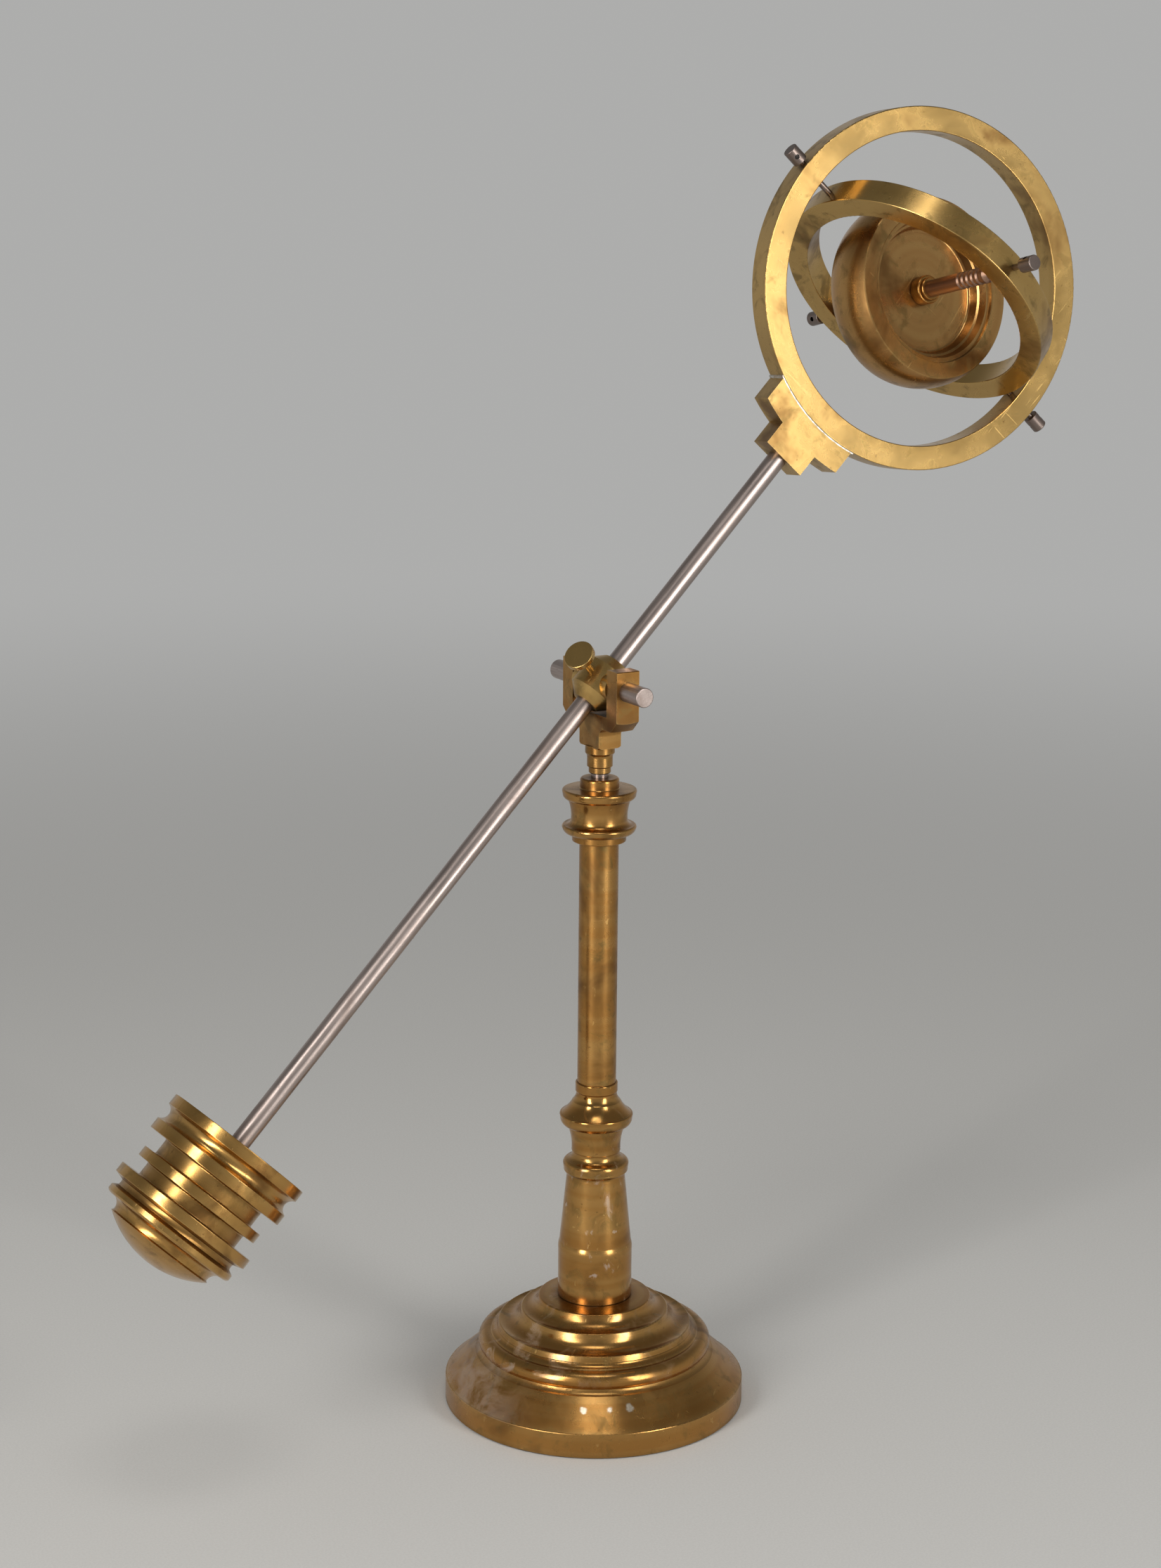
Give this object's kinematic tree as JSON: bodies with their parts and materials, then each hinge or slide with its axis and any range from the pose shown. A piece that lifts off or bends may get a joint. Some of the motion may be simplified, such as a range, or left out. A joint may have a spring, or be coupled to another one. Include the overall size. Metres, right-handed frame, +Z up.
{
  "type": "gyroscope on stand",
  "caption": "Demonstration gyroscope: a turned brass stand with a swivelling fork, a balanced tilting arm with a counterweight, and a rotor in two gimbal rings at its upper end.",
  "frame": {"origin": "centre of the base's flat underside", "axes": "+Z up the column; +X the level direction in which the arm rises to the gyroscope"},
  "size_m": [0.5226, 0.1662, 0.6385],
  "materials": {
    "brass": "aged satin brass with tarnish",
    "bright_brass": "rubbed bright brass",
    "steel": "drawn steel, mottled",
    "dark_steel": "darkened steel",
    "solder": "dull soft solder"
  },
  "bodies": {
    "stand": {"base_flange": "brass", "base_moulding": "brass", "lower_column": "brass", "column_shaft": "brass", "capital": "brass", "tie_rod": "steel", "swivel_pin": "steel"},
    "fork_body": {"fork": "brass"},
    "block_body": {"pivot_block": "brass", "trunnion_pin_near": "steel", "trunnion_pin_far": "steel"},
    "thumbscrew_body": {"thumbscrew": "bright_brass"},
    "arm_body": {"arm_rod": "steel", "counterweight": "brass", "ring_boss": "brass", "solder_seam": "solder", "outer_ring": "brass", "outer_screw_upper": "dark_steel", "outer_screw_lower": "dark_steel"},
    "inner_ring_body": {"inner_ring": "brass", "inner_screw_near": "dark_steel", "inner_screw_far": "dark_steel"},
    "rotor_body": {"rotor": "brass", "rotor_hub_near": "bright_brass", "rotor_hub_far": "bright_brass", "rotor_spindle": "dark_steel"}
  },
  "joints": [
    {"name": "fork_swivel", "type": "hinge", "parent": "stand", "child": "fork_body", "pos_m": [0, 0, 0.33], "axis": [0, 0, 1], "continuous": true},
    {"name": "arm_tilt", "type": "hinge", "parent": "fork_body", "child": "block_body", "pos_m": [0, 0, 0.3676], "axis": [0, 1, 0], "range_deg": [0, 92]},
    {"name": "rod_slide", "type": "slide", "parent": "block_body", "child": "arm_body", "axis": [0.6947, 0, 0.7193], "range_m": [-0.08, 0.12]},
    {"name": "thumbscrew_turn", "type": "hinge", "parent": "block_body", "child": "thumbscrew_body", "pos_m": [-0.01352, -0.00684, 0.38066], "axis": [-0.676, -0.342, 0.6528], "range_deg": [0, 360]},
    {"name": "inner_ring_tilt", "type": "hinge", "parent": "arm_body", "child": "inner_ring_body", "pos_m": [0.18077, -0.00056, 0.54836], "axis": [-0.7154, 0.1045, 0.6909], "range_deg": [-93, 69]},
    {"name": "rotor_spin", "type": "hinge", "parent": "inner_ring_body", "child": "rotor_body", "pos_m": [0.18077, -0.00056, 0.54836], "axis": [0.0745, -0.9717, 0.2242], "continuous": true}
  ]
}
